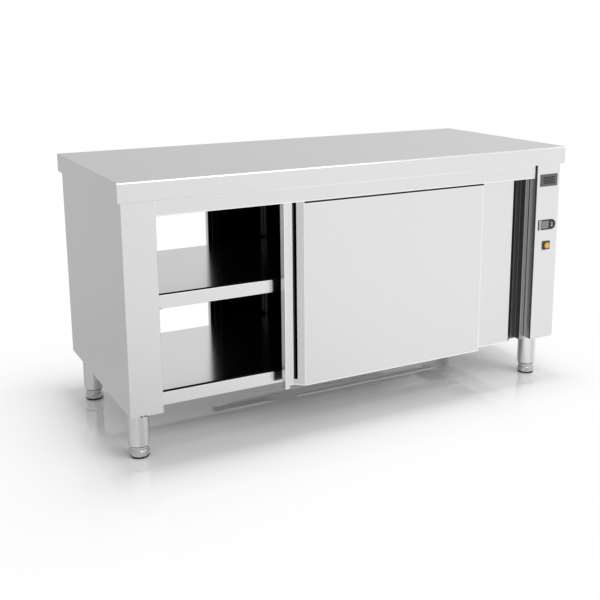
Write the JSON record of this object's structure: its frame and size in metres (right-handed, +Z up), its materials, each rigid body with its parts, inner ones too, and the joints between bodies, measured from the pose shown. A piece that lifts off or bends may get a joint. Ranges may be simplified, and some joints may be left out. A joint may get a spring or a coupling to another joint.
{
  "type": "plate warmer cabinet",
  "caption": "Pass-through heated cupboard with a thick folded worktop, sliding double-skin doors front and rear with recessed handles, a shelf, adjustable legs and pillar controls.",
  "frame": {"origin": "centre of the footprint, on the floor under the feet", "axes": "+Z up, +X along the worktop towards the control pillar, -Y out of the front doors"},
  "size_m": [1.6, 0.7, 0.85],
  "materials": {
    "stainless": "fine brushed stainless sheet",
    "stainless_side": "fine brushed stainless sheet",
    "stainless_deck": "smooth stainless sheet",
    "stainless_inner": "smooth stainless sheet inside the cupboard",
    "leg_steel": "brushed stainless tube",
    "foot_steel": "satin stainless foot",
    "galvanised": "galvanised sheet",
    "zinc_bolt": "zinc-plated",
    "element_steel": "heat-tinted steel",
    "board": "raw particle board",
    "nylon": "natural nylon",
    "black_plastic": "moulded",
    "grey_plastic": "moulded",
    "dark_plate": "satin black",
    "thermostat_front": "satin black",
    "switch_bezel": "satin black",
    "key_gold": "moulded",
    "key_white": "moulded",
    "orange_lens": "translucent lens"
  },
  "bodies": {
    "cabinet": {"worktop": "stainless", "worktop_board": "board", "worktop_channels": "galvanised", "ceiling_panel": "stainless_inner", "left_end_casing": "stainless_side", "right_end_casing": "stainless_side", "left_inner_wall": "stainless_inner", "right_inner_wall": "stainless_inner", "front_header": "stainless", "rear_header": "stainless", "front_door_track": "galvanised", "rear_door_track": "galvanised", "bottom_deck": "stainless_deck", "deck_channels": "galvanised", "shelf": "stainless_deck", "shelf_angles": "stainless_inner", "door_guides": "nylon", "base_pans": "galvanised", "leg_spigots": "galvanised", "leg_bolts": "zinc_bolt", "leg_tubes": "leg_steel", "leg_inserts": "black_plastic", "louvred_plate": "dark_plate", "thermostat_case": "thermostat_front", "switch_housing": "switch_bezel", "air_duct": "stainless_inner", "heating_element": "element_steel", "fan_frame": "black_plastic", "terminal_box": "grey_plastic", "cable_gland": "black_plastic"},
    "front_outer_door": {"front_outer_skin": "stainless", "front_outer_liner": "stainless_inner", "front_outer_hangers": "zinc_bolt"},
    "front_inner_door": {"front_inner_skin": "stainless", "front_inner_liner": "stainless_inner", "front_inner_hangers": "zinc_bolt"},
    "rear_outer_door": {"rear_outer_skin": "stainless", "rear_outer_liner": "stainless_inner", "rear_outer_hangers": "zinc_bolt"},
    "rear_inner_door": {"rear_inner_skin": "stainless", "rear_inner_liner": "stainless_inner", "rear_inner_hangers": "zinc_bolt"},
    "front_outer_roller_a": {"front_outer_roller_a": "nylon"},
    "front_outer_roller_b": {"front_outer_roller_b": "nylon"},
    "front_inner_roller_a": {"front_inner_roller_a": "nylon"},
    "front_inner_roller_b": {"front_inner_roller_b": "nylon"},
    "rear_outer_roller_a": {"rear_outer_roller_a": "nylon"},
    "rear_outer_roller_b": {"rear_outer_roller_b": "nylon"},
    "rear_inner_roller_a": {"rear_inner_roller_a": "nylon"},
    "rear_inner_roller_b": {"rear_inner_roller_b": "nylon"},
    "front_left_foot": {"front_left_foot": "foot_steel"},
    "front_right_foot": {"front_right_foot": "foot_steel"},
    "rear_left_foot": {"rear_left_foot": "foot_steel"},
    "rear_right_foot": {"rear_right_foot": "foot_steel"},
    "thermostat_key_up": {"thermostat_key_up": "key_gold"},
    "thermostat_key_down": {"thermostat_key_down": "key_white"},
    "switch_button": {"switch_button": "orange_lens"},
    "fan_rotor": {"fan_rotor": "black_plastic"}
  },
  "joints": [
    {"name": "front_outer_door_slide", "type": "slide", "parent": "cabinet", "child": "front_outer_door", "axis": [1, 0, 0], "range_m": [-0.402, 0.221]},
    {"name": "front_inner_door_slide", "type": "slide", "parent": "cabinet", "child": "front_inner_door", "axis": [1, 0, 0], "range_m": [-0.623, 0]},
    {"name": "rear_outer_door_slide", "type": "slide", "parent": "cabinet", "child": "rear_outer_door", "axis": [1, 0, 0], "range_m": [-0.402, 0.221]},
    {"name": "rear_inner_door_slide", "type": "slide", "parent": "cabinet", "child": "rear_inner_door", "axis": [1, 0, 0], "range_m": [-0.623, 0]},
    {"name": "front_outer_roller_a_spin", "type": "hinge", "parent": "front_outer_door", "child": "front_outer_roller_a", "pos_m": [-0.1765, -0.3193, 0.7728], "axis": [0, 1, 0], "continuous": true},
    {"name": "front_outer_roller_b_spin", "type": "hinge", "parent": "front_outer_door", "child": "front_outer_roller_b", "pos_m": [0.3575, -0.3193, 0.7728], "axis": [0, 1, 0], "continuous": true},
    {"name": "front_inner_roller_a_spin", "type": "hinge", "parent": "front_inner_door", "child": "front_inner_roller_a", "pos_m": [0.5785, -0.2918, 0.7728], "axis": [0, 1, 0], "continuous": true},
    {"name": "front_inner_roller_b_spin", "type": "hinge", "parent": "front_inner_door", "child": "front_inner_roller_b", "pos_m": [0.0445, -0.2918, 0.7728], "axis": [0, 1, 0], "continuous": true},
    {"name": "rear_outer_roller_a_spin", "type": "hinge", "parent": "rear_outer_door", "child": "rear_outer_roller_a", "pos_m": [-0.1765, 0.3193, 0.7728], "axis": [0, 1, 0], "continuous": true},
    {"name": "rear_outer_roller_b_spin", "type": "hinge", "parent": "rear_outer_door", "child": "rear_outer_roller_b", "pos_m": [0.3575, 0.3193, 0.7728], "axis": [0, 1, 0], "continuous": true},
    {"name": "rear_inner_roller_a_spin", "type": "hinge", "parent": "rear_inner_door", "child": "rear_inner_roller_a", "pos_m": [0.5785, 0.2918, 0.7728], "axis": [0, 1, 0], "continuous": true},
    {"name": "rear_inner_roller_b_spin", "type": "hinge", "parent": "rear_inner_door", "child": "rear_inner_roller_b", "pos_m": [0.0445, 0.2918, 0.7728], "axis": [0, 1, 0], "continuous": true},
    {"name": "front_left_foot_screw", "type": "slide", "parent": "cabinet", "child": "front_left_foot", "axis": [0, 0, -1], "range_m": [0, 0.045]},
    {"name": "front_right_foot_screw", "type": "slide", "parent": "cabinet", "child": "front_right_foot", "axis": [0, 0, -1], "range_m": [0, 0.045]},
    {"name": "rear_left_foot_screw", "type": "slide", "parent": "cabinet", "child": "rear_left_foot", "axis": [0, 0, -1], "range_m": [0, 0.045]},
    {"name": "rear_right_foot_screw", "type": "slide", "parent": "cabinet", "child": "rear_right_foot", "axis": [0, 0, -1], "range_m": [0, 0.045]},
    {"name": "thermostat_key_up_press", "type": "slide", "parent": "cabinet", "child": "thermostat_key_up", "axis": [0, 1, 0], "range_m": [0, 0.0008], "stiffness_N_per_m": 500},
    {"name": "thermostat_key_down_press", "type": "slide", "parent": "cabinet", "child": "thermostat_key_down", "axis": [0, 1, 0], "range_m": [0, 0.0008], "stiffness_N_per_m": 500},
    {"name": "switch_button_press", "type": "slide", "parent": "cabinet", "child": "switch_button", "axis": [0, 1, 0], "range_m": [0, 0.003], "stiffness_N_per_m": 400},
    {"name": "fan_rotor_spin", "type": "hinge", "parent": "cabinet", "child": "fan_rotor", "pos_m": [0.7082, 0, 0.3], "axis": [1, 0, 0], "continuous": true}
  ],
  "couplings": [
    {"joint": "front_outer_roller_a_spin", "follows": "front_outer_door_slide", "rad_per_m": 111.11},
    {"joint": "front_outer_roller_b_spin", "follows": "front_outer_door_slide", "rad_per_m": 111.11},
    {"joint": "front_inner_roller_a_spin", "follows": "front_inner_door_slide", "rad_per_m": 111.11},
    {"joint": "front_inner_roller_b_spin", "follows": "front_inner_door_slide", "rad_per_m": 111.11},
    {"joint": "rear_outer_roller_a_spin", "follows": "rear_outer_door_slide", "rad_per_m": 111.11},
    {"joint": "rear_outer_roller_b_spin", "follows": "rear_outer_door_slide", "rad_per_m": 111.11},
    {"joint": "rear_inner_roller_a_spin", "follows": "rear_inner_door_slide", "rad_per_m": 111.11},
    {"joint": "rear_inner_roller_b_spin", "follows": "rear_inner_door_slide", "rad_per_m": 111.11}
  ]
}
